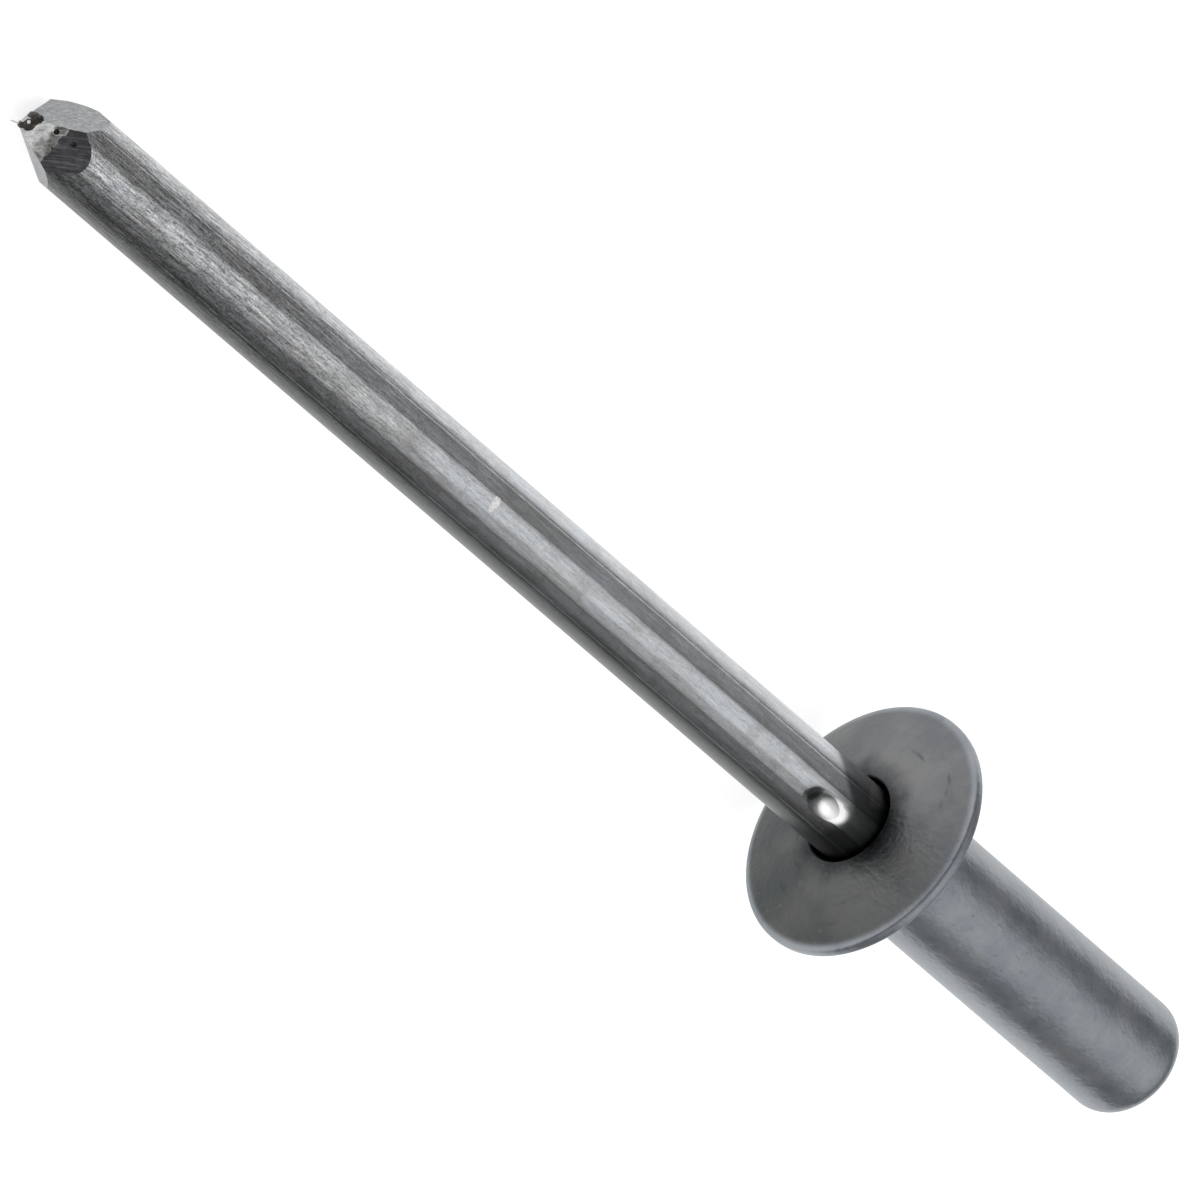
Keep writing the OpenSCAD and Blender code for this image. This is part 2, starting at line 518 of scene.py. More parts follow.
class Effects:
    """Builds the shared node groups once and places them in finishes."""

    def __init__(self, axis: OwnAxis) -> None:
        """Builds the groups.

        Args:
            axis: the rivet's own axis, which the patterns follow.
        """
        self.axis = axis
        self.groups = {
            Effect.PLACE: self._place(),
            Effect.DRAWN: self._drawn(),
            Effect.MOTTLE: self._mottle(),
            Effect.SPECKLE: self._speckle(),
        }

    @staticmethod
    def _group(
        effect: Effect, inputs: dict[str, str], outputs: dict[str, str]
    ) -> tuple[Graph, bpy.types.bpy_prop_collection, bpy.types.bpy_prop_collection]:
        """Starts a group with named sockets.

        Args:
            effect: the group's name.
            inputs: kinds of its inputs by name: Vector, Float or Color.
            outputs: kinds of its outputs by name.

        Returns:
            The graph of the group, its inputs and its outputs.
        """
        tree = bpy.data.node_groups.new(effect.value, "ShaderNodeTree")
        for in_out, sockets in (("INPUT", inputs), ("OUTPUT", outputs)):
            for name, kind in sockets.items():
                tree.interface.new_socket(name, in_out=in_out, socket_type=f"NodeSocket{kind}")
        graph = Graph(tree)
        given = graph.node("NodeGroupInput").outputs
        result = graph.node("NodeGroupOutput").inputs
        return graph, given, result

    def _place(self) -> bpy.types.NodeTree:
        """Places on the rivet in millimetres: height on the axis, radius and direction."""
        graph, _, result = self._group(
            Effect.PLACE,
            {},
            {"Own": "Vector", "Height": "Float", "Radius": "Float", "Turn": "Float"},
        )
        laid = self.axis.laid_down()
        mapping = graph.node("ShaderNodeMapping", vector_type="TEXTURE")
        mapping.inputs["Location"].default_value = laid.translation
        mapping.inputs["Rotation"].default_value = laid.to_euler()
        mapping.inputs["Scale"].default_value = (MM, MM, MM)
        seen = graph.node("ShaderNodeTexCoord").outputs["Object"]
        graph.feed(mapping.inputs["Vector"], seen)
        parts = graph.parts(mapping.outputs[0])
        squares = [graph.math("POWER", parts[side], 2.0) for side in "XY"]
        graph.feed(result["Own"], mapping.outputs[0])
        graph.feed(result["Height"], parts["Z"])
        graph.feed(result["Radius"], graph.math("SQRT", graph.math("ADD", *squares)))
        graph.feed(result["Turn"], graph.math("ARCTAN2", parts["Y"], parts["X"]))
        return graph.tree

    def _drawn(self) -> bpy.types.NodeTree:
        """Lines that a die leaves along a drawn surface, broken up along their length."""
        graph, given, result = self._group(
            Effect.DRAWN,
            {"Own": "Vector", "Fineness": "Float", "Stretch": "Float"},
            {"Lines": "Float"},
        )
        parts = graph.parts(given["Own"])
        along = graph.math("DIVIDE", parts["Z"], given["Stretch"])
        stretched = graph.vector(parts["X"], parts["Y"], along)
        lines = graph.noise(stretched, given["Fineness"], 5.0, 0.65)
        graph.feed(result["Lines"], lines)
        return graph.tree

    def _mottle(self) -> bpy.types.NodeTree:
        """Clouds and small dark specks of a tumbled or handled skin."""
        graph, given, result = self._group(
            Effect.MOTTLE,
            {
                "Own": "Vector",
                "Cloud Scale": "Float",
                "Speck Scale": "Float",
                "Speck Amount": "Float",
            },
            {"Clouds": "Float", "Specks": "Float"},
        )
        clouds = graph.noise(given["Own"], given["Cloud Scale"], 4.0, 0.6)
        specks = graph.noise(given["Own"], given["Speck Scale"], 2.0)
        sharp = graph.steps(specks, 0.62, 0.74)
        graph.feed(result["Clouds"], clouds)
        graph.feed(result["Specks"], graph.math("MULTIPLY", sharp, given["Speck Amount"]))
        return graph.tree

    def _speckle(self) -> bpy.types.NodeTree:
        """Fine dark speckle of handled steel, laid over a colour."""
        graph, given, result = self._group(
            Effect.SPECKLE,
            {"Own": "Vector", "Depth": "Float", "Colour": "Color"},
            {"Colour": "Color"},
        )
        spots = graph.steps(graph.noise(given["Own"], 26.0, 2.0), 0.52, 0.36)
        dark = graph.math("MULTIPLY", spots, given["Depth"])
        speckled = graph.mix(dark, given["Colour"], (0.05, 0.05, 0.052, 1.0))
        graph.feed(result["Colour"], speckled)
        return graph.tree

    def use(self, graph: Graph, effect: Effect, **values: object) -> bpy.types.bpy_prop_collection:
        """Places a group in a finish.

        Args:
            graph: the finish's graph.
            effect: which group.
            **values: its inputs, with underscores for spaces.

        Returns:
            The group's outputs.
        """
        made = graph.node("ShaderNodeGroup")
        made.node_tree = self.groups[effect]
        for name, value in values.items():
            graph.feed(made.inputs[name.replace("_", " ")], value)
        return made.outputs


# ---------------------------------------------------------------------------- finishes


@dataclass(frozen=True)
class Steel:
    """A bare steel finish.

    Attributes:
        name: the material's name.
        level: linear grey of the clean metal.
        warmth: how far the grey leans to warm.
        roughness: the shader's roughness.
        dirt: grey of the dark clouds in it.
    """

    name: str
    level: float
    warmth: float = 0.0
    roughness: float = 0.4
    dirt: float = 0.5

    def _start(self) -> tuple[bpy.types.Material, Graph, bpy.types.Node]:
        """Makes the material with a metal shader, and returns it, its graph and shader."""
        material = bpy.data.materials.new(self.name)
        material.use_nodes = True
        graph = Graph(material.node_tree)
        shader = material.node_tree.nodes["Principled BSDF"]
        shader.inputs["Metallic"].default_value = 1.0
        shader.inputs["Roughness"].default_value = self.roughness
        return material, graph, shader

    def build(self, effects: Effects) -> bpy.types.Material:
        """Builds the finish.

        Args:
            effects: the shared node groups.

        Returns:
            The material.
        """
        raise NotImplementedError


@dataclass(frozen=True)
class CupSteel(Steel):
    """Dull tumbled steel of the cup, with a darker, marked flange.

    Attributes:
        flange: grey of the flange's dome.
        rim: grey of the painted shade round the hole.
        painted_shade_depth: how deep the painted shade on the flange's far side is.
    """

    flange: float = 0.175
    rim: float = 0.03
    painted_shade_depth: float = 0.9

    def _dome(self, graph: Graph, place: bpy.types.bpy_prop_collection) -> bpy.types.NodeSocket:
        """Colours the dome: painted shade to one side, clouded and marked, with painted shade
        round the hole.

        Args:
            graph: the finish's graph.
            place: the place on the rivet.

        Returns:
            The dome's colour.
        """
        own = place["Own"]
        # Painted shade: the flange's far side is coloured darker, and its lighter clouds fade out
        # there.
        side = graph.steps(graph.parts(own)["Y"], 2.2, -3.0)
        shaded = graph.math("MULTIPLY", side, self.painted_shade_depth)
        painted_shade_tone = grey(self.flange * 0.42, 0.0, -0.04)
        colour = graph.mix(shaded, grey(self.flange, -0.02), painted_shade_tone)
        clouds = graph.steps(graph.noise(own, 0.55), 0.38, 0.66)
        clouds = graph.math("MULTIPLY", clouds, graph.math("MULTIPLY_ADD", side, -0.32, 0.4))
        colour = graph.mix(clouds, colour, grey(self.flange * 1.5, 0.01))
        round_hole = graph.vector(
            graph.math("MULTIPLY", place["Turn"], 1.6),
            graph.math("MULTIPLY", place["Radius"], 3.2),
            3.0,
        )
        marks = graph.steps(graph.noise(round_hole, 1.5, 2.0), 0.6, 0.8, 0.5)
        colour = graph.mix(marks, colour, grey(0.05, self.warmth))
        # Painted shade: a ragged dark ring round the hole, where its gap and rounded rim lie in
        # shade.
        ragged = graph.math("MULTIPLY_ADD", graph.noise(own, 1.6, 2.0), 0.6, place["Radius"])
        hole_shade = graph.steps(ragged, 2.2, 1.35, 0.9)
        return graph.mix(hole_shade, colour, grey(self.rim, -0.1))

    def build(self, effects: Effects) -> bpy.types.Material:
        """Builds the finish.

        Args:
            effects: the shared node groups.

        Returns:
            The material.
        """
        material, graph, shader = self._start()
        place = effects.use(graph, Effect.PLACE)
        own = place["Own"]
        skin = effects.use(
            graph, Effect.MOTTLE, Own=own, Cloud_Scale=0.75, Speck_Scale=5.0, Speck_Amount=0.35
        )
        on_dome = graph.math(
            "MULTIPLY",
            graph.steps(place["Height"], 0.24, 0.36),
            graph.steps(place["Radius"], 3.3, 3.14),
        )
        colour = graph.mix(on_dome, grey(self.level, self.warmth), self._dome(graph, place))
        clouds = graph.steps(skin["Clouds"], 0.64, 0.34)
        colour = graph.multiply(colour, graph.mix(clouds, WHITE, grey(self.dirt, self.warmth)))
        colour = graph.mix(skin["Specks"], colour, grey(self.level * 0.45, 0.05))
        rough = graph.math("MULTIPLY_ADD", skin["Clouds"], 0.16, self.roughness - 0.08)
        waves = graph.noise(own, 2.2, 2.0)
        waves = graph.math("MULTIPLY_ADD", waves, 1.6, graph.noise(own, 9.0, 4.0))
        graph.feed(shader.inputs["Base Color"], colour)
        graph.feed(shader.inputs["Roughness"], rough)
        graph.feed(shader.inputs["Normal"], graph.bump(waves, 0.35, 0.03))
        return material


@dataclass(frozen=True)
class Patch:
    """A soft oval patch on the upper side of the wire.

    Attributes:
        middle: its middle across and along the axis, in millimetres.
        half: its half sizes across and along the axis.
        share: how much of its tone shows in its middle.
        tone: its colour.
    """

    middle: tuple[float, float]
    half: tuple[float, float]
    share: float
    tone: tuple[float, float, float, float]

    def mask(self, graph: Graph, parts: bpy.types.bpy_prop_collection) -> bpy.types.NodeSocket:
        """Says where the patch shows.

        Args:
            graph: the finish's graph.
            parts: the place on the rivet in X, Y and Z.

        Returns:
            The patch's share in its middle, going to 0 at its border and on the lower side.
        """
        squares = []
        for side, middle, half in zip("YZ", self.middle, self.half):
            offset = graph.math("DIVIDE", graph.math("SUBTRACT", parts[side], middle), half)
            squares.append(graph.math("POWER", offset, 2.0))
        inside = graph.steps(graph.math("ADD", *squares), 1.15, 0.35, self.share)
        return graph.math("MULTIPLY", inside, graph.steps(parts["X"], 0.0, 0.2))


@dataclass(frozen=True)
class WireSteel(Steel):
    """Drawn steel of the mandrel, with fine lines along it.

    Attributes:
        scratches: depth of the lines.
        handled: height above which the wire is more scratched, towards its point.
        handled_run: length over which the scratches reach their full strength.
        fresh: how much of the scratches shows below that height.
        far_half_shade: how much darker the wire is painted beyond its middle, as painted shade.
        under: how much darker the wire is painted along its lower side, as painted shade.
        line_sets: name, fineness per millimetre and stretch of each set of lines.
        patches: the warm side of its root, then the painted highlight and the painted shade at the
            ends of the dimple.
    """

    scratches: float = 0.5
    handled: float = 14.0
    handled_run: float = 15.0
    fresh: float = 0.28
    far_half_shade: float = 0.5
    under: float = 0.85
    line_sets: tuple[tuple[str, float, float], ...] = (
        ("coarse", 4.0, 12.0),
        ("fine", 20.0, 16.0),
        ("short", 24.0, 4.5),
    )
    patches: tuple[Patch, ...] = (
        Patch((0.8, 1.2), (0.25, 0.3), 0.6, grey(0.3, 0.08)),
        # Painted highlight: a white oval at the dimple's end nearest the flange.
        Patch((-0.1, 2.22), (0.33, 0.48), 1.0, grey(1.0)),
        # Painted shade: a dark oval at the dimple's end towards the point.
        Patch((-0.08, 3.05), (0.26, 0.27), 0.85, grey(0.07)),
    )

    def _scratched(
        self,
        graph: Graph,
        lines: dict[str, bpy.types.NodeSocket],
        skin: bpy.types.bpy_prop_collection,
        wear: bpy.types.NodeSocket,
    ) -> bpy.types.NodeSocket:
        """Colours the wire with its lines, stains and specks.

        Args:
            graph: the finish's graph.
            lines: the sets of lines by name.
            skin: the clouds and specks.
            wear: how strongly the handling shows, from 0 to 1.

        Returns:
            The wire's colour.
        """
        dull = grey(self.level * self.dirt, -0.01)
        grain = graph.steps(lines["coarse"], 0.6, 0.38)
        colour = graph.mix(grain, grey(self.level, self.warmth), dull)
        worn = (
            (graph.steps(lines["fine"], 0.49, 0.4, 0.6), grey(self.level * 0.35)),
            (graph.steps(lines["short"], 0.48, 0.4, 0.75), grey(self.level * 0.22)),
            (graph.steps(lines["fine"], 0.54, 0.63, 0.7), grey(min(1.0, self.level * 1.6), 0.01)),
        )
        for share, tone in worn:
            colour = graph.mix(graph.math("MULTIPLY", share, wear), colour, tone)
        stain = graph.steps(skin["Clouds"], 0.48, 0.32, 0.4)
        colour = graph.mix(stain, colour, grey(self.level * 0.55, 0.02))
        specks = graph.math("MULTIPLY", skin["Specks"], wear)
        return graph.mix(specks, colour, grey(self.level * 0.3, 0.1))

    def _darkened(
        self,
        graph: Graph,
        colour: bpy.types.NodeSocket,
        parts: bpy.types.bpy_prop_collection,
        grain: bpy.types.NodeSocket,
    ) -> bpy.types.NodeSocket:
        """Paints shade on the wire: darker beyond its middle, along its lower side and at its
        root.

        Args:
            graph: the finish's graph.
            colour: the wire's colour.
            parts: the place on the rivet in X, Y and Z.
            grain: the lines that make the borders ragged.

        Returns:
            The darkened colour.
        """
        # Painted shade: the wire is coloured darker beyond its middle, and darker still along its
        # lower side.
        ragged = graph.math("MULTIPLY_ADD", grain, 0.18, parts["Y"])
        far_half_shade = graph.steps(ragged, 0.07, -0.05, self.far_half_shade)
        under = graph.steps(ragged, -0.3, -0.72, self.under)
        colour = graph.multiply(colour, graph.mix(far_half_shade, WHITE, grey(0.35, 0.02)))
        colour = graph.multiply(colour, graph.mix(under, WHITE, grey(0.2, 0.0, -0.05)))
        # Painted shade: the wire's root next to the flange is coloured dark.
        lowered = graph.steps(parts["Y"], 0.15, 1.0, -0.85)
        root = graph.steps(graph.math("ADD", parts["Z"], lowered), 2.0, 1.65, 0.82)
        return graph.mix(root, colour, grey(self.level * 0.16, -0.02))

    def build(self, effects: Effects) -> bpy.types.Material:
        """Builds the finish.

        Args:
            effects: the shared node groups.

        Returns:
            The material.
        """
        material, graph, shader = self._start()
        place = effects.use(graph, Effect.PLACE)
        own = place["Own"]
        parts = graph.parts(own)
        lines = {}
        for name, fineness, stretch in self.line_sets:
            drawn = effects.use(
                graph, Effect.DRAWN, Own=own, Fineness=fineness, Stretch=stretch
            )
            lines[name] = drawn["Lines"]
        skin = effects.use(
            graph, Effect.MOTTLE, Own=own, Cloud_Scale=1.6, Speck_Scale=13.0, Speck_Amount=0.5
        )
        wear = graph.steps(place["Height"], self.handled, self.handled + self.handled_run)
        wear = graph.math("MULTIPLY_ADD", wear, 1 - self.fresh, self.fresh)
        colour = self._scratched(graph, lines, skin, wear)
        depth = graph.math("MULTIPLY", wear, 0.6)
        speckled = effects.use(graph, Effect.SPECKLE, Own=own, Depth=depth, Colour=colour)
        colour = self._darkened(graph, speckled["Colour"], parts, lines["coarse"])
        # Lays the patches, among them the dimple's painted highlight and painted shade.
        for patch in self.patches:
            colour = graph.mix(patch.mask(graph, parts), colour, patch.tone)
        rough = graph.math("MULTIPLY_ADD", lines["coarse"], 0.2, self.roughness - 0.1)
        grooves = graph.math("MULTIPLY", lines["fine"], wear)
        graph.feed(shader.inputs["Base Color"], colour)
        graph.feed(shader.inputs["Roughness"], rough)
        graph.feed(shader.inputs["Normal"], graph.bump(grooves, self.scratches, 0.012))
        return material


@dataclass(frozen=True)
class CutSteel(Steel):
    """Steel of a sheared or torn facet of the point, scored one way.

    Attributes:
        grain: fineness of its blotches, per millimetre.
        relief: strength of its roughness.
        scoring: strength of the score marks.
        score_turn: how the score marks turn from the axis, in degrees, across the view
            from above and from the side.
        fade_below: height below which it is duller, or 0 where it is even.
        violet: how far the grey leans to violet.
        speckle: depth of its fine dark speckle.
    """

    grain: float = 20.0
    relief: float = 0.2
    scoring: float = 0.5
    score_turn: tuple[float, float] = (-35.0, 20.0)
    fade_below: float = 0.0
    violet: float = 0.0
    speckle: float = 0.3

    def _faded(
        self,
        graph: Graph,
        colour: bpy.types.NodeSocket,
        place: bpy.types.bpy_prop_collection,
        clouds: bpy.types.NodeSocket,
    ) -> bpy.types.NodeSocket:
        """Lays a duller, blotched tone over the colour below the fade's ragged height.

        Args:
            graph: the finish's graph.
            colour: the facet's colour.
            place: the place on the rivet.
            clouds: the facet's blotches.

        Returns:
            The faded colour.
        """
        noise = graph.noise(place["Own"], 5.0)
        ragged = graph.math("MULTIPLY_ADD", noise, 0.5, place["Height"])
        fade = graph.steps(ragged, self.fade_below + 0.32, self.fade_below + 0.18)
        blotched = graph.mix(clouds, grey(0.13, 0.03), grey(self.level * 0.5, 0.02))
        return graph.mix(fade, colour, blotched)

    def build(self, effects: Effects) -> bpy.types.Material:
        """Builds the finish.

        Args:
            effects: the shared node groups.

        Returns:
            The material.
        """
        material, graph, shader = self._start()
        place = effects.use(graph, Effect.PLACE)
        own = place["Own"]
        turned = graph.node("ShaderNodeMapping", vector_type="POINT")
        turned.inputs["Rotation"].default_value = (*map(math.radians, self.score_turn), 0)
        graph.feed(turned.inputs["Vector"], own)
        scores = effects.use(
            graph, Effect.DRAWN, Own=turned.outputs[0], Fineness=20.0, Stretch=14.0
        )["Lines"]
        lean = (self.warmth, self.violet)
        clouds = graph.steps(graph.noise(own, self.grain, 4.0), 0.34, 0.62)
        colour = graph.mix(clouds, grey(self.level * self.dirt, *lean), grey(self.level, *lean))
        if self.fade_below:
            colour = self._faded(graph, colour, place, clouds)
        gouges = graph.steps(scores, 0.48, 0.4, self.scoring)
        colour = graph.mix(gouges, colour, grey(self.level * 0.45, *lean))
        scratches = graph.steps(scores, 0.53, 0.62, self.scoring)
        colour = graph.mix(scratches, colour, grey(min(1.0, self.level * 2.0), self.warmth))
        speckled = effects.use(
            graph, Effect.SPECKLE, Own=own, Depth=self.speckle, Colour=colour
        )
        relief = graph.math("ADD", graph.noise(own, self.grain, 5.0), scores)
        graph.feed(shader.inputs["Base Color"], speckled["Colour"])
        graph.feed(shader.inputs["Normal"], graph.bump(relief, self.relief, 0.03))
        return material


class Face(Enum):
    """The kinds of surface on the mandrel, each with its own finish of that name."""

    WIRE = "drawn_wire"
    SHEARED = "sheared_light"
    SMEARED = "smeared_dark"
    TORN = "torn_bright"
    BURR = "torn_burr"
    NICKED = "nicked_bright"


@dataclass(frozen=True)
class Finishes:
    """Every finish of the rivet: the cup's, and one for each face of the mandrel."""

    cup: Steel = CupSteel("cup_steel", level=0.32, warmth=-0.05, roughness=0.38, dirt=0.8)
    faces: tuple[Steel, ...] = (
        WireSteel(Face.WIRE.value, level=0.58, warmth=-0.05, roughness=0.3, dirt=0.8),
        CutSteel(
            Face.SHEARED.value,
            level=0.28,
            warmth=-0.03,
            roughness=0.34,
            dirt=0.82,
            grain=5.0,
            relief=0.15,
            scoring=0.45,
            score_turn=(-50.0, 0.0),
        ),
        CutSteel(
            Face.SMEARED.value,
            level=0.085,
            warmth=-0.04,
            roughness=0.36,
            dirt=0.7,
            grain=5.0,
            relief=0.2,
            scoring=0.65,
            violet=0.06,
        ),
        CutSteel(
            Face.TORN.value,
            level=0.98,
            roughness=0.36,
            dirt=0.88,
            grain=4.0,
            relief=0.25,
            scoring=0.5,
            score_turn=(-60.0, 35.0),
            fade_below=33.41,
            speckle=0.2,
        ),
        CutSteel(
            Face.BURR.value,
            level=0.09,
            warmth=0.1,
            roughness=0.5,
            dirt=0.5,
            grain=7.0,
            relief=0.5,
            scoring=0.2,
        ),
        CutSteel(
            Face.NICKED.value,
            level=0.92,
            roughness=0.5,
            dirt=0.85,
            grain=4.0,
            relief=0.1,
            scoring=0.0,
        ),
    )

    def build(self, effects: Effects) -> tuple[bpy.types.Material, dict[Face, bpy.types.Material]]:
        """Builds all materials, and returns the cup's and the mandrel's by face."""
        return self.cup.build(effects), {Face(s.name): s.build(effects) for s in self.faces}


# -------------------------------------------------------------------------- the pieces


@dataclass(frozen=True)
class Sizes:
    """The sizes that the cup and the mandrel share, in millimetres.

    Heights run along the rivet's own axis, from the seat under the flange to the point.

    Attributes:
        length: length of the cup from the seat to its closed end.
        end_wall: thickness of the closed end.
        edge_height: height of the flange's straight edge.
        dome_rise: rise of the flange's dome above its edge.
        wire_r: radius of the mandrel's wire.
        wire_out: length of mandrel beyond the top of the flange.
        head_r: radius of the upset head.
        head_height: height of the upset head's straight side, with its chamfer.
        head_chamfer: chamfer at the bottom of the upset head and of its pocket.
        bore_clearance: radial clearance between the mandrel and the cup.
        head_clearance: clearance at each end of the upset head.
    """

    length: float = 11.6
    end_wall: float = 0.6
    edge_height: float = 0.3
    dome_rise: float = 0.5
    wire_r: float = 1.075
    wire_out: float = 33.15
    head_r: float = 1.25
    head_height: float = 1.2
    head_chamfer: float = 0.25
    bore_clearance: float = 0.06
    head_clearance: float = 0.03

    @property
    def bore_r(self) -> float:
        """Radius of the bore."""
        return self.wire_r + self.bore_clearance

    @property
    def pocket_r(self) -> float:
        """Radius of the head's pocket."""
        return self.head_r + self.bore_clearance

    @property
    def pocket_floor(self) -> float:
        """Height of the pocket's floor."""
        return self.end_wall - self.length

    @property
    def head_floor(self) -> float:
        """Height of the upset head's flat end."""
        return self.pocket_floor + self.head_clearance

    @property
    def head_top(self) -> float:
        """Height at which the upset head's cone starts."""
        return self.head_floor + self.head_height

    @property
    def cone_top(self) -> float:
        """Height at which the cone has narrowed to the wire."""
        return self.head_top + self.head_r - self.wire_r

    @property
    def pocket_top(self) -> float:
        """Height at which the pocket starts to narrow to the bore."""
        return self.head_top + self.head_clearance

    @property
    def tip(self) -> float:
        """Height of the point's tip."""
        return self.edge_height + self.dome_rise + self.wire_out


@dataclass
class Cup:
    """The drawn cup: closed shank, flange with a low dome, and the bore inside.

    Attributes:
        sizes: the sizes that it shares with the mandrel.
        shank_r: radius of the shank, in millimetres, as all that follows.
        flange_r: radius of the flange.
        edge_round: radius of the flange's corners.
        seat_fillet: radius of the fillet between the flange and the shank.
        end_round: radius of the closed end's corner.
        hole_round: radius of the hole's rounded rim.
        edge_turn: turn of the flange's upper corner until it meets the dome, in degrees.
        rim_turn: direction in which the hole's rim leaves the dome, in degrees.
        segments: number of segments round the axis.
        corner_rings: number of rings in each small corner.
        pole_r: radius of the disc at each end of the skin.
    """

    sizes: Sizes = Sizes()
    shank_r: float = 1.575
    flange_r: float = 3.35
    edge_round: float = 0.1
    seat_fillet: float = 0.12
    end_round: float = 0.7
    hole_round: float = 0.1
    edge_turn: float = 73.0
    rim_turn: float = 97.0
    segments: int = 288
    corner_rings: int = 6
    pole_r: float = 0.2
    dome_r: float = field(init=False)
    dome_centre: float = field(init=False)

    def __post_init__(self) -> None:
        """Works out the dome's circle from its rise."""
        edge, rise = self.flange_r - self.edge_round, self.sizes.dome_rise
        drop = (edge**2 - self.sizes.bore_r**2 - rise**2) / (2 * rise)
        self.dome_r = math.hypot(edge, drop)
        self.dome_centre = self.sizes.edge_height - drop

    def dome_height(self, radius: float) -> float:
        """Height of the dome at a distance from the axis."""
        return self.dome_centre + math.sqrt(self.dome_r**2 - radius**2)

    def outside(self) -> list[tuple[float, float]]:
        """Profile from the closed end to the rim of the hole, as (radius, height) points."""
        edge = self.flange_r - self.edge_round
        end_flat = self.shank_r - self.end_round
        bottom = -self.sizes.length
        end_centre = (end_flat, bottom + self.end_round)
        fillet_centre = (self.shank_r + self.seat_fillet, -self.seat_fillet)
        edge_top = self.sizes.edge_height - self.edge_round
        rim_centre = (
            self.sizes.bore_r + self.hole_round,
            self.dome_height(self.sizes.bore_r) - self.hole_round,
        )
        dome = line((edge, 0), (rim_centre[0], 0), 26)
        corner = self.corner_rings
        return (
            line((self.pole_r, bottom), (end_flat, bottom), 4)
            + arc(end_centre, self.end_round, -90, 0, 16)
            + line((self.shank_r, end_centre[1]), (self.shank_r, -self.seat_fillet), 44)
            + arc(fillet_centre, self.seat_fillet, 180, 90, corner)
            + line((fillet_centre[0], 0), (edge, 0), 8)
            + arc((edge, self.edge_round), self.edge_round, -90, 0, corner)
            + line((self.flange_r, self.edge_round), (self.flange_r, edge_top), 2)
            + arc((edge, edge_top), self.edge_round, 0, self.edge_turn, corner)
            + [(radius, self.dome_height(radius)) for radius, _ in dome]
            + arc(rim_centre, self.hole_round, self.rim_turn, 180, corner)
        )

    def inside(self) -> list[tuple[float, float]]:
        """Profile from the rim of the hole to the pocket's floor, as (radius, height) points."""
        sizes = self.sizes
        shoulder = sizes.pocket_top + sizes.pocket_r - sizes.bore_r
        top = self.dome_height(sizes.bore_r) - self.hole_round
        return line((sizes.bore_r, top), (sizes.bore_r, shoulder), 12) + [
            (sizes.pocket_r, sizes.pocket_top),
            (sizes.pocket_r, sizes.pocket_floor + sizes.head_chamfer),
            (sizes.pocket_r - sizes.head_chamfer, sizes.pocket_floor),
            (self.pole_r, sizes.pocket_floor),
        ]

    def build(self) -> bpy.types.Object:
        """Turns the cup as one closed skin.

        Returns:
            The cup, upright in millimetres.
        """
        turning = Turning("rivet_body_cup", self.pole_r, -self.sizes.length, self.segments)
        turning.follow(self.outside())
        turning.follow(self.inside())
        cup = turning.close()
        seal(cup, 0.0005)
        return cup

    def dress(self, cup: bpy.types.Object, material: bpy.types.Material) -> None:
        """Gives the cup its finish and smooth shading.

        Args:
            cup: the cup.
            material: its finish.
        """
        cup.data.materials.clear()
        cup.data.materials.append(material)
        make_active(cup)
        bpy.ops.object.shade_smooth_by_angle(angle=math.radians(35))


@dataclass(frozen=True)
class Facet:
    """One flat cut of the point.

    Attributes:
        name: what the facet is called.
        turn: its direction round the mandrel from straight up, in degrees.
        run: how far behind the tip it runs out on the wire, in millimetres.
        reach: its distance from the axis at the tip's height, as a share of the wire's
            radius, below 0 where it has crossed the axis.
        face: the kind of surface that the cut leaves.
        grain: size of its waves, in millimetres.
        relief: height of its waves, in millimetres.
    """

    name: str
    turn: float
    run: float
    reach: float
    face: Face
    grain: float = 0.6
    relief: float = 0.006

    def slope(self, wire_r: float) -> float:
        """Its angle to the axis, in radians, on a wire of this radius."""
        return math.atan2(wire_r * (1 - self.reach), self.run)


@dataclass(frozen=True)
class Dent:
    """One round dent or pit that is pressed or torn into the wire.

    Attributes:
        name: what the dent is called.
        place: centre of the shape that makes it, in millimetres.
        half: its half sizes outwards, across and along the axis, in millimetres.
        turn: its direction round the axis, in degrees.
        face: the kind of surface that it leaves.
        relief: height of its waves, in millimetres.
    """

    name: str
    place: tuple[float, float, float]
    half: tuple[float, float, float]
    turn: float
    face: Face
    relief: float = 0.0


@dataclass(frozen=True)
class Crimp:
    """The oval dimples that are pressed into the wire just outside the flange.

    Attributes:
        count: number of dimples round the wire.
        turn: direction of the first one round the axis, in degrees.
        height: height of their middles, in millimetres.
        levels: for each level of a dimple its depth, how far the centre of the shape that
            presses it lies outside the surface, and its half length and half width there.
    """

    count: int = 2
    turn: float = -9.0
    height: float = 2.62
    levels: tuple[tuple[float, float, float, float], ...] = (
        (0.08, 0.35, 0.76, 0.36),
        (0.17, 0.25, 0.64, 0.325),
    )

    def dents(self, wire_r: float) -> list[Dent]:
        """Works out the shapes that press the dimples.

        Args:
            wire_r: the wire's radius.

        Returns:
            A dent for each level of each dimple.
        """
        found = []
        for i in range(self.count):
            turn = self.turn + i * 360 / self.count
            for depth, outside, length, width in self.levels:
                out = depth + outside
                drop = wire_r - math.sqrt(wire_r**2 - width**2)
                along = length / math.sqrt(1 - (outside / out) ** 2)
                across = width / math.sqrt(1 - ((outside + drop) / out) ** 2)
                reach = wire_r + outside
                place = (
                    reach * math.cos(math.radians(turn)),
                    reach * math.sin(math.radians(turn)),
                    self.height,
                )
                found.append(Dent(f"crimp_{i}", place, (out, across, along), turn, Face.WIRE))
        return found


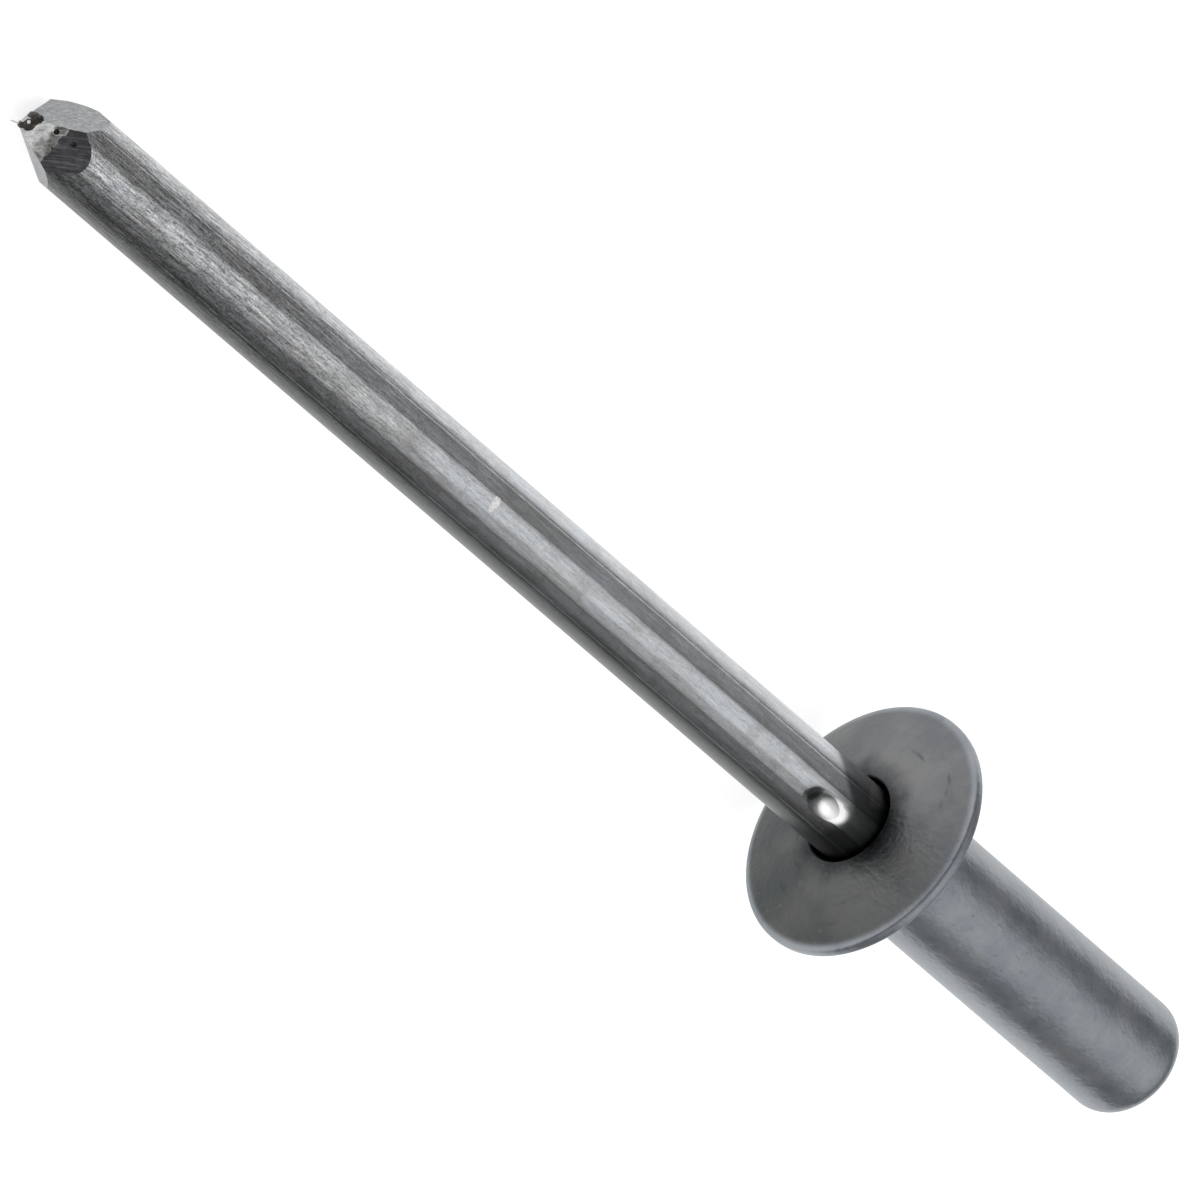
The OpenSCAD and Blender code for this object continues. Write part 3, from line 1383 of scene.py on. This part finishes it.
@dataclass
class Mandrel:
    """The fluted wire with its upset head, break neck, crimps and pinched point.

    Attributes:
        sizes: the sizes that it shares with the cup.
        over: how far the wire runs past the tip before the point is cut, in millimetres,
            as all that follows.
        neck_r: radius at the bottom of the break neck.
        neck_gap: length of plain wire between the upset head and the break neck.
        neck_width: width of the break neck.
        flute_count: number of flutes round the wire.
        first_flute: direction of the first flute, in degrees.
        flute_depth: depth of a flute's flat bottom.
        flute_half: half the width of its flat bottom.
        flute_lip: how far the surface dips beside it.
        flute_wall: angle that its soft wall takes up, in degrees.
        flute_reach: angle from its middle that it changes, in degrees.
        segments: number of segments round the axis, one for each degree.
        ring_gap: distance of the rings along the wire.
        pole_r: radius of the disc at the head's end.
        cutter_side: side of the block that cuts a facet.
        cutter_cuts: number of squares along its side.
        crimp: the dimples.
        facets: the flat cuts of the point, in their order.
        marks: what is dented into the wire.
        lumps: what stands on it.
        spur_root: where the spur starts.
        spur_end: where it ends.
        spur_r: its radius at the root.
    """

    sizes: Sizes = Sizes()
    over: float = 0.6
    neck_r: float = 0.65
    neck_gap: float = 0.3
    neck_width: float = 0.9
    flute_count: int = 6
    first_flute: float = 30.0
    flute_depth: float = 0.034
    flute_half: float = 0.185
    flute_lip: float = 0.001
    flute_wall: float = 2.2
    flute_reach: int = 15
    segments: int = 360
    ring_gap: float = 0.5
    pole_r: float = 0.2
    cutter_side: float = 3.6
    cutter_cuts: int = 72
    crimp: Crimp = Crimp()
    facets: tuple[Facet, ...] = (
        Facet("upper", 88, 1.9, -0.1, Face.SHEARED),
        Facet("fold", 94, 1.760, -0.090, Face.SHEARED),
        Facet("front", -8, 1.577, 0.4, Face.SMEARED),
        Facet("torn", -9, 1.197, 0.16, Face.TORN, 0.22, 0.03),
        Facet("lower", -91, 1.843, 0.37, Face.SHEARED),
        Facet("back_lower", -108, 1.862, 0.24, Face.SHEARED),
        Facet("back", 170, 1.159, -0.15, Face.SMEARED),
    )
    marks: tuple[Dent, ...] = (
        Dent("nick", (1.085, 0.161, 16.57), (0.055, 0.3, 0.17), 8.4, Face.NICKED),
        Dent("pit_deep", (0.63, 0.07, 33.37), (0.06, 0.07, 0.09), -9, Face.BURR, 0.02),
        Dent("pit_long", (0.87, 0.1, 33.03), (0.05, 0.06, 0.19), -9, Face.BURR, 0.02),
        Dent("pit_low", (0.7, -0.28, 33.28), (0.03, 0.03, 0.11), -9, Face.BURR, 0.02),
    )
    lumps: tuple[Dent, ...] = (
        Dent("burr_a", (0.16, -0.05, 33.73), (0.21, 0.17, 0.16), -9, Face.BURR, 0.03),
        Dent("burr_b", (0.17, -0.2, 33.76), (0.18, 0.17, 0.15), -9, Face.BURR, 0.03),
        Dent("burr_c", (0.11, -0.32, 33.86), (0.1, 0.09, 0.1), -9, Face.BURR, 0.02),
        Dent("burr_d", (0.27, 0.02, 33.69), (0.11, 0.12, 0.1), -9, Face.BURR, 0.03),
        Dent("burr_e", (0.13, -0.23, 33.85), (0.1, 0.13, 0.07), -9, Face.BURR, 0.02),
        Dent("bright_grain", (0.27, -0.17, 33.87), (0.05, 0.05, 0.04), 0, Face.NICKED),
    )
    spur_root: tuple[float, float, float] = (0.12, -0.33, 33.92)
    spur_end: tuple[float, float, float] = (0.02, -0.41, 34.12)
    spur_r: float = 0.03

    def flute_radius(self, offset: float) -> float:
        """Distance of the surface from the axis at an angle from a flute's middle.

        Args:
            offset: the angle, in degrees.

        Returns:
            The radius, in millimetres: flat across the flute, with a soft lip beside it.
        """
        wire_r = self.sizes.wire_r
        flat = wire_r - self.flute_depth
        turn = math.radians(offset)
        if flat * math.tan(turn) < self.flute_half:
            return flat / math.cos(turn)
        edge = math.degrees(math.atan2(self.flute_half, flat))
        share = min(1.0, (offset - edge) / self.flute_wall)
        climb = share * share * (3 - 2 * share)
        foot = flat / math.cos(math.radians(edge))
        fade = max(0.0, 1 - max(0.0, offset - edge - self.flute_wall) / 2)
        return foot + (wire_r - foot) * climb - self.flute_lip * climb * fade

    def _blank(self) -> Turning:
        """Turns the head, the neck and the start of the wire, all round."""
        sizes = self.sizes
        neck = sizes.cone_top + self.neck_gap
        turning = Turning("mandrel_wire", self.pole_r, sizes.head_floor, self.segments)
        turning.follow(
            [
                (sizes.head_r - sizes.head_chamfer, sizes.head_floor),
                (sizes.head_r, sizes.head_floor + sizes.head_chamfer),
                (sizes.head_r, sizes.head_top),
                (sizes.wire_r, sizes.cone_top),
                (sizes.wire_r, neck),
                (self.neck_r, neck + self.neck_width / 2),
                (sizes.wire_r, neck + self.neck_width),
            ]
        )
        return turning

    def _off_flute(self, place: Vector) -> float:
        """Angle from a place to the middle of the nearest flute, in degrees."""
        pitch = 360 / self.flute_count
        return abs((polar(place)[1] - self.first_flute + pitch / 2) % pitch - pitch / 2)

    def _groove(self, turning: Turning) -> None:
        """Presses the flutes into the open rim of the wire, degree by degree.

        Args:
            turning: the wire as far as it is turned.
        """
        level = turning.height

        def at_rim(place: Vector) -> bool:
            """True of the open rim's vertices."""
            return abs(place.z - level) < 0.01

        for step in range(self.flute_reach):
            squeeze = self.flute_radius(step) / self.sizes.wire_r
            pick(
                turning.piece,
                lambda place: at_rim(place) and abs(self._off_flute(place) - step) < 0.3,
            )
            bpy.ops.transform.resize(
                value=(squeeze, squeeze, 1), center_override=(0, 0, level)
            )
        pick(turning.piece, at_rim)

    def _facet_tool(
        self, facet: Facet, materials: dict[Face, bpy.types.Material]
    ) -> bpy.types.Object:
        """Makes the block that cuts a facet: its underside is the facet's surface.

        Args:
            facet: the facet.
            materials: the finish of each kind of surface.

        Returns:
            The block, in its place.
        """
        deselect()
        cuts, side = self.cutter_cuts, self.cutter_side
        bpy.ops.mesh.primitive_grid_add(x_subdivisions=cuts, y_subdivisions=cuts, size=side)
        tool = bpy.context.object
        tool.name = f"cut_{facet.name}"
        roughen(tool, facet.grain, facet.relief)
        bpy.ops.object.mode_set(mode="EDIT")
        bpy.ops.mesh.select_all(action="SELECT")
        bpy.ops.mesh.extrude_region_move(TRANSFORM_OT_translate={"value": (0, 0, side)})
        bpy.ops.mesh.select_all(action="SELECT")
        bpy.ops.mesh.normals_make_consistent(inside=False)
        bpy.ops.object.mode_set(mode="OBJECT")
        settle_order(tool)
        tool.data.materials.append(materials[facet.face])
        turn, slope = math.radians(facet.turn), facet.slope(self.sizes.wire_r)
        out = Vector((math.cos(turn), math.sin(turn), 0))
        normal = out * math.cos(slope) + Vector((0, 0, math.sin(slope)))
        across = Vector((-math.sin(turn), math.cos(turn), 0))
        along = normal.cross(across)
        run_out = out * self.sizes.wire_r + Vector((0, 0, self.sizes.tip - facet.run))
        turned = Matrix((across, along, normal)).transposed().to_4x4()
        tool.matrix_world = Matrix.Translation(run_out + along * (side / 3)) @ turned
        return tool

    def _round_tool(
        self, dent: Dent, materials: dict[Face, bpy.types.Material]
    ) -> bpy.types.Object:
        """Makes the oval, lumpy shape of a dent or a lump.

        Args:
            dent: the dent or lump.
            materials: the finish of each kind of surface.

        Returns:
            The shape, in its place.
        """
        deselect()
        fine = 6 if dent.face is Face.WIRE else 4
        bpy.ops.mesh.primitive_ico_sphere_add(subdivisions=fine, radius=1)
        tool = bpy.context.object
        tool.name = dent.name
        bpy.ops.object.mode_set(mode="EDIT")
        bpy.ops.mesh.select_all(action="SELECT")
        bpy.ops.transform.resize(value=dent.half, center_override=(0, 0, 0))
        bpy.ops.object.mode_set(mode="OBJECT")
        if dent.relief:
            roughen(tool, 0.12, dent.relief)
        turned = Matrix.Rotation(math.radians(dent.turn), 4, "Z")
        tool.matrix_world = Matrix.Translation(dent.place) @ turned
        tool.data.materials.append(materials[dent.face])
        return tool

    def _spur(self, materials: dict[Face, bpy.types.Material]) -> bpy.types.Object:
        """Makes the thin spur of torn metal that stands off the tip.

        Args:
            materials: the finish of each kind of surface.

        Returns:
            The spur, in its place.
        """
        deselect()
        root, end = Vector(self.spur_root), Vector(self.spur_end)
        bpy.ops.mesh.primitive_cone_add(
            vertices=24, radius1=self.spur_r, radius2=self.spur_r / 4, depth=(end - root).length
        )
        spur = bpy.context.object
        spur.name = "spur"
        bpy.ops.object.mode_set(mode="EDIT")
        bpy.ops.mesh.select_all(action="SELECT")
        bpy.ops.mesh.subdivide(number_cuts=3)
        bpy.ops.object.mode_set(mode="OBJECT")
        settle_order(spur)
        roughen(spur, 0.05, self.spur_r / 16)
        turned = (end - root).to_track_quat("Z", "Y").to_matrix().to_4x4()
        spur.matrix_world = Matrix.Translation((root + end) / 2) @ turned
        spur.data.materials.append(materials[Face.NICKED])
        return spur

    def build(self, materials: dict[Face, bpy.types.Material]) -> bpy.types.Object:
        """Makes the mandrel: wire, flutes, crimps and point.

        Args:
            materials: the finish of each kind of surface.

        Returns:
            The mandrel, upright in millimetres.
        """
        turning = self._blank()
        self._groove(turning)
        start = (self.sizes.wire_r, turning.height)
        end = (self.sizes.wire_r, self.sizes.tip + self.over)
        turning.follow(line(start, end, round((end[1] - start[1]) / self.ring_gap)))
        wire = turning.close()
        wire.data.materials.clear()
        wire.data.materials.append(materials[Face.WIRE])
        seal(wire, 0.0005)
        for dent in self.crimp.dents(self.sizes.wire_r):
            combine(wire, self._round_tool(dent, materials), "DIFFERENCE")
        for facet in self.facets:
            combine(wire, self._facet_tool(facet, materials), "DIFFERENCE")
            log.info("mandrel: %s facet cut", facet.name)
        for mark in self.marks:
            combine(wire, self._round_tool(mark, materials), "DIFFERENCE")
        for lump in self.lumps:
            combine(wire, self._round_tool(lump, materials), "UNION")
        combine(wire, self._spur(materials), "UNION")
        seal(wire, 0.0003)
        return wire

    def dress(self, wire: bpy.types.Object) -> None:
        """Smooths the wire and keeps the edges of its facets."""
        make_active(wire)
        bpy.ops.object.shade_smooth_by_angle(angle=math.radians(24))


# --------------------------------------------------------------------------- the studio


@dataclass
class Studio:
    """Pale floor, soft light and the camera.

    The camera stands in the upright plane through the rivet's axis, on the point's side.

    Attributes:
        frame_px: side of the render.
        distance_mm: distance of the camera from the seat.
        view_to_axis: angle between the view and the rivet's axis, in degrees.
        px_per_mm: scale of the render at the seat.
        seat_px: where the seat shows.
        axis_on_screen: slope of the rivet's axis in the render, in degrees.
        sensor_mm: width of the camera's sensor.
        floor_size: side of the floor, in metres.
        floor_glow: how bright the floor looks.
        sky: the room's light as (height, grey) stops, from below to overhead.
        key_place: where the soft lamp hangs, in metres.
        key_size: the lamp's side, in metres.
        key_power: the lamp's power, in watts.
    """

    frame_px: float = 1200.0
    distance_mm: float = 450.0
    view_to_axis: float = 48.8
    px_per_mm: float = 42.0
    seat_px: tuple[float, float] = (867.4, 834.3)
    axis_on_screen: float = 40.75
    sensor_mm: float = 36.0
    floor_size: float = 3.0
    floor_glow: float = 0.75
    sky: tuple[tuple[float, float], ...] = (
        (0.0, 0.3),
        (0.15, 0.2),
        (0.45, 0.34),
        (0.62, 0.54),
        (0.76, 0.62),
        (0.88, 0.62),
        (0.97, 0.9),
    )
    key_place: tuple[float, float, float] = (0.42, 0.0, 0.56)
    key_size: float = 0.7
    key_power: float = 0.65

    def camera(self, axis: OwnAxis) -> None:
        """Sets up the camera.

        Args:
            axis: the rivet's own axis.
        """
        climb = math.radians(self.view_to_axis) - axis.tilt
        view = Vector((math.cos(climb), 0, -math.sin(climb)))
        level_right = Vector((0, -1, 0))
        level_up = level_right.cross(view)
        roll = math.radians(90 + self.axis_on_screen)
        right = level_right * math.cos(roll) + level_up * math.sin(roll)
        up = level_up * math.cos(roll) - level_right * math.sin(roll)
        focal_px = self.px_per_mm * self.distance_mm
        middle = self.frame_px / 2
        x = (self.seat_px[0] - middle) / focal_px * self.distance_mm
        y = -(self.seat_px[1] - middle) / focal_px * self.distance_mm
        place = axis.seat - (right * x + up * y + view * self.distance_mm) * MM
        lens = bpy.data.cameras.new("camera")
        lens.sensor_width = self.sensor_mm
        lens.lens = focal_px * self.sensor_mm / self.frame_px
        lens.clip_start = 0.01
        lens.clip_end = 20
        camera = bpy.data.objects.new("camera", lens)
        bpy.context.scene.collection.objects.link(camera)
        turn = Matrix((right, up, -view)).transposed().to_4x4()
        camera.matrix_world = Matrix.Translation(place) @ turn
        bpy.context.scene.camera = camera

    def floor(self) -> bpy.types.Object:
        """Lays the pale floor that the rivet rests on.

        Returns:
            The floor.
        """
        deselect()
        bpy.ops.mesh.primitive_plane_add(size=self.floor_size)
        floor = bpy.context.object
        floor.name = "floor"
        material = bpy.data.materials.new("floor_white")
        material.use_nodes = True
        graph = Graph(material.node_tree)
        material.node_tree.nodes.clear()
        diffuse = graph.node("ShaderNodeBsdfDiffuse")
        diffuse.inputs["Color"].default_value = (0.8, 0.8, 0.8, 1)
        glow = graph.node("ShaderNodeEmission")
        path = graph.node("ShaderNodeLightPath")
        seen = graph.math(
            "MAXIMUM",
            path.outputs["Is Camera Ray"],
            graph.math(
                "MAXIMUM", path.outputs["Is Glossy Ray"], path.outputs["Is Transmission Ray"]
            ),
        )
        graph.feed(glow.inputs["Strength"], graph.math("MULTIPLY", seen, self.floor_glow))
        both = graph.node("ShaderNodeAddShader")
        graph.feed(both.inputs[0], diffuse.outputs[0])
        graph.feed(both.inputs[1], glow.outputs[0])
        output = graph.node("ShaderNodeOutputMaterial")
        graph.feed(output.inputs["Surface"], both.outputs[0])
        floor.data.materials.append(material)
        return floor

    def world(self) -> None:
        """Sets the soft light of the room: bright overhead, greyer towards the horizon."""
        world = bpy.data.worlds.new("studio")
        bpy.context.scene.world = world
        world.use_nodes = True
        graph = Graph(world.node_tree)
        back = world.node_tree.nodes["Background"]
        direction = graph.node("ShaderNodeTexCoord").outputs["Generated"]
        ramp = graph.node("ShaderNodeValToRGB")
        graph.feed(ramp.inputs[0], graph.parts(direction)["Z"])
        stops = ramp.color_ramp.elements
        (_, lowest), *between, (top, highest) = self.sky
        for place, level in between:
            stops.new(place).color = grey(level)
        stops[0].color = grey(lowest)
        stops[-1].position = top
        stops[-1].color = grey(highest)
        graph.feed(back.inputs["Color"], ramp.outputs[0])

    def lamp(self) -> None:
        """Hangs the square soft lamp, which looks at the rivet."""
        data = bpy.data.lights.new("key", "AREA")
        data.size = self.key_size
        data.energy = self.key_power
        lamp = bpy.data.objects.new("key", data)
        bpy.context.scene.collection.objects.link(lamp)
        aim = Vector(self.key_place).to_track_quat("Z", "Y")
        lamp.matrix_world = Matrix.Translation(self.key_place) @ aim.to_matrix().to_4x4()

    def build(self, axis: OwnAxis) -> None:
        """Builds the whole studio.

        Args:
            axis: the rivet's own axis.
        """
        self.camera(axis)
        floor = self.floor()
        self.world()
        self.lamp()
        bpy.context.scene.view_settings.view_transform = "Standard"


def main() -> None:
    """Builds the rivet's looks and the studio."""
    logging.basicConfig(level=logging.INFO, format="%(name)s: %(message)s")
    axis = OwnAxis.from_record(frame["record"])
    Studio().build(axis)
    cup_finish, wire_finishes = Finishes().build(Effects(axis))
    cup_maker = Cup()
    cup = cup_maker.build()
    cup_maker.dress(cup, cup_finish)
    lay_down(cup, axis)
    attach(cup, "root")
    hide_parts("rivet_body")
    log.info("cup: %d faces", len(cup.data.polygons))
    mandrel_maker = Mandrel()
    wire = mandrel_maker.build(wire_finishes)
    mandrel_maker.dress(wire)
    lay_down(wire, axis)
    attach(wire, "root")
    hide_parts("mandrel")
    log.info("mandrel: %d faces", len(wire.data.polygons))


if __name__ == "__main__":
    main()
